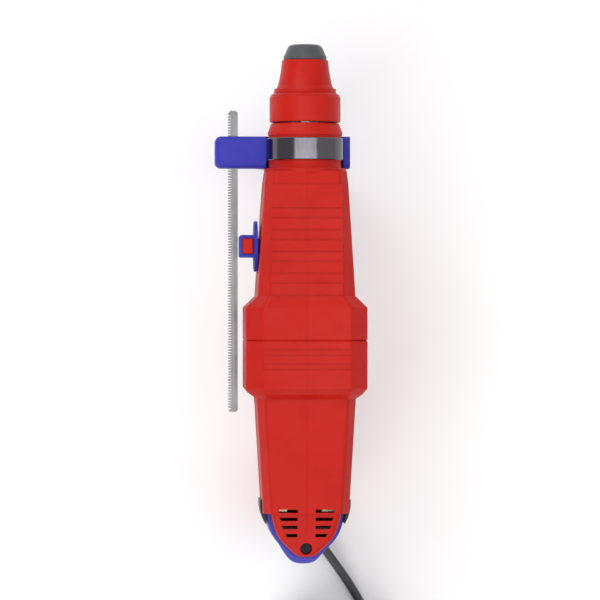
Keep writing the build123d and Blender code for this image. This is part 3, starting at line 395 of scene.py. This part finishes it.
# ---------- coil tie: a hook-and-loop strap round the turns, on the side away from the plug ----------
def coil_tie():
    at = math.radians(128)
    half_width, thick = 6.5, 1.05
    out = Vector((math.cos(at), math.sin(at), 0))
    low, high = CORD_Z - CORD_R + 1.1, CORD_Z + 3 * PITCH + CORD_R + 0.3
    centre = Vector((COIL[0], COIL[1], (low + high) / 2)) + out * MIDDLE
    outline = rounded(3 * PITCH + 0.6, high - low, 3.2, 8)
    loop = [tuple(centre + out * a + Vector((0, 0, b))) for a, b in outline]
    side = Vector((-out.y, out.x, 0))
    cloth = rubber("tie_weave", (0.022, 0.022, 0.024), (0.06, 0.06, 0.065), (0.8, 0.95), 2600, 0.00012)
    strip("coil_tie", loop, half_width, thick, side, "root", cloth.mat, 0.25)
    # the strap's loose end lies on top of it, its tip a little raised
    flap_half, flap_thick, flap_reach, flap_steps = 6.1, 0.9, 7.5, 8
    flap_z = (high - low) / 2 + 1.1
    flap = []
    for k in range(flap_steps + 1):
        a = -flap_reach + 2 * flap_reach * k / flap_steps
        tip = 0.5 if k == flap_steps else 0.0
        flap.append(centre + out * a + Vector((0, 0, flap_z + tip)))
    section = ((-flap_half, 0), (flap_half, 0), (flap_half, flap_thick), (-flap_half, flap_thick))
    verts, faces = [], []
    for p in flap:
        for across, up in section:
            verts.append(p + side * across + Vector((0, 0, up)))
    for i in range(len(flap) - 1):
        for k in range(4):
            m = (k + 1) % 4
            faces.append((4 * i + k, 4 * i + m, 4 * i + 4 + m, 4 * i + 4 + k))
    faces += [(3, 2, 1, 0), tuple(4 * (len(flap) - 1) + k for k in range(4))]
    obj = put(mesh_of("coil_tie_flap", verts, faces), "coil_tie_flap", "root", cloth.mat)
    mod = obj.modifiers.new("round", "BEVEL")
    mod.width, mod.segments, mod.limit_method = 0.3 * MM, 2, "ANGLE"


coil_tie()


# ---------- side grip: soft grip with long flutes and a flared end ----------
def curve_through(points, steps):
    """Catmull-Rom through (radius, height) points."""
    pts = [points[0], *points, points[-1]]
    made = []
    for i in range(1, len(pts) - 2):
        for k in range(steps):
            t = k / steps
            row = []
            for axis in range(2):
                a, b, c, d = (pts[i + j][axis] for j in (-1, 0, 1, 2))
                row.append(0.5 * (2 * b + (c - a) * t + (2 * a - 5 * b + 4 * c - d) * t * t
                                  + (3 * b - a - 3 * c + d) * t ** 3))
            made.append(tuple(row))
    return made + [points[-1]]


def side_grip():
    low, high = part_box("side_grip")
    top, floor = high[2] / MM, low[2] / MM
    cx, cy = (low[0] + high[0]) / 2 / MM, (low[1] + high[1]) / 2 / MM
    height = top - floor
    bore = 4.5
    # (radius, height) down the outside: the bore and collar, the waisted grip, its flared end, the end face
    profile = [(bore, top - 42), (bore, top - 1), (bore + 0.6, top), (16.9, top), (17.9, top - 0.4)]
    profile += [(18.4, top - 1.3), (18.5, top - 2.2), (18.4, top - 3.8), (17.9, top - 5.2)]
    grip = [(17.0, top - 6.8), (15.0, top - 12), (14.2, top - 20), (14.9, top - 36), (15.8, top - 56)]
    grip += [(15.8, top - 70), (15.1, top - 86), (14.6, top - 99), (16.6, top - 105.5)]
    flare = [(19.8, top - 109.6), (21.3, floor + 6.6), (21.9, floor + 3.4), (21.7, floor + 1.6)]
    profile += curve_through(grip, 11) + curve_through(flare, 4)
    profile += [(21.1, floor + 0.6), (20.2, floor + 0.05), (18.5, floor), (9.0, floor), (8.2, floor + 0.9)]
    around = 144
    flutes, flute_depth = 12, 0.95
    ring_count, ring_depth = 4, 0.35
    verts, faces = [], []
    for r, z in profile:
        along = (top - z) / height
        window = smooth((along - 0.13) / 0.05) * (1 - smooth((along - 0.76) / 0.06)) if r > 12 else 0
        rings = 0
        if 0.10 < along < 0.86 and r > 12:
            rings = ring_depth * smooth(math.cos((along - 0.5) * 2 * pi * ring_count) * 4 - 3)
        for k in range(around):
            a = 2 * pi * k / around
            groove = smooth((math.cos(a * flutes) - 0.55) / 0.35)
            rr = r - flute_depth * groove * window - rings
            verts.append((cx + rr * math.cos(a), cy + rr * math.sin(a), z))
    rows = len(profile)
    for i in range(rows - 1):
        for k in range(around):
            m = (k + 1) % around
            faces.append((i * around + k, i * around + m, (i + 1) * around + m, (i + 1) * around + k))
    faces.append([k for k in range(around)])
    faces.append([(rows - 1) * around + k for k in reversed(range(around))])
    mesh = mesh_of("side_grip_soft", verts, faces)
    obj = put(mesh, "side_grip_soft", "side_grip", blue_soft.mat)
    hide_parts("side_grip")


side_grip()


# ---------- plug: moulded finger ridges and a ribbed tail ----------
def plug_details():
    low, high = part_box("plug_body")
    z_mid = (high[2] / MM) - 13.0
    front, y_mid = low[0] / MM, (low[1] + high[1]) / 2 / MM
    along_plug = (1, 0, 0)
    sink = 0.15         # how much narrower than the plug the ridges start
    for i in range(5):
        along = 5.0 + 3.0 * i
        taper = along / 19
        outline = rounded(33.0 - taper - sink, 26.0 - taper - sink, 11.4, 8)
        loop = [(front + along, y_mid + a, z_mid + b) for a, b in outline]
        name = "plug_ridge_%d" % (i + 1)
        strip(name, loop, 0.75, 0.6, along_plug, "root", sheath.mat, 0.28)
    for i in range(5):
        along = 33.5 + 3.6 * i
        t = (along - 31.0) / 23.0
        size = 13.0 + (8.6 - 13.0) * t
        drop = 6.4 + (8.7 - 6.4) * t
        outline = rounded(size - 0.1, size - 0.1, size * 0.44, 6)
        loop = [(front + along, y_mid + a, z_mid - drop + b) for a, b in outline]
        thick = 0.5 if i < 4 else 0.35
        name = "plug_tail_rib_%d" % (i + 1)
        strip(name, loop, 0.8, thick, along_plug, "root", sheath.mat, 0.22)


plug_details()


# ---------- stage ----------
floor_mesh = bpy.data.meshes.new("floor")
FLOOR_HALF = 6.0
FLOOR_GAP = 0.0003      # the floor lies this much under the tool
signs = ((-1, -1), (1, -1), (1, 1), (-1, 1))
corners = [(x * FLOOR_HALF, y * FLOOR_HALF, FLOOR - FLOOR_GAP) for x, y in signs]
floor_mesh.from_pydata(corners, [], [(0, 1, 2, 3)])
floor = bpy.data.objects.new("floor", floor_mesh)
scene.collection.objects.link(floor)
paper = Mat("floor_paper", (0.95, 0.95, 0.95), 0.9)
paper.vary(3, (0.93, 0.93, 0.935), 0.5)
paper.bsdf.inputs["Specular IOR Level"].default_value = 0.1
floor.data.materials.append(paper.mat)


def softbox(name, place, target, width, height, power):
    data = bpy.data.lights.new(name, "AREA")
    data.shape, data.size, data.size_y, data.energy = "RECTANGLE", width, height, power
    obj = bpy.data.objects.new(name, data)
    scene.collection.objects.link(obj)
    obj.location = place
    obj.rotation_euler = (Vector(target) - Vector(place)).to_track_quat("-Z", "Y").to_euler()
    return obj


middle = (0, -0.18, -0.05)
softbox("top_box", (-0.04, -0.18, 2.0), middle, 0.55, 2.6, 15)
softbox("nose_box", (-0.8, 1.7, 1.6), middle, 2.4, 1.6, 34)
softbox("tail_box", (-0.8, -2.1, 1.6), middle, 2.4, 1.6, 31)
softbox("right_box", (2.0, -0.2, 1.0), middle, 1.6, 2.4, 5)
world = bpy.data.worlds.new("studio")
world.use_nodes = True
world.node_tree.nodes["Background"].inputs["Color"].default_value = (1, 1, 1, 1)
world.node_tree.nodes["Background"].inputs["Strength"].default_value = 0.42
scene.world = world
scene.view_settings.view_transform = "Standard"

bpy.context.view_layer.update()
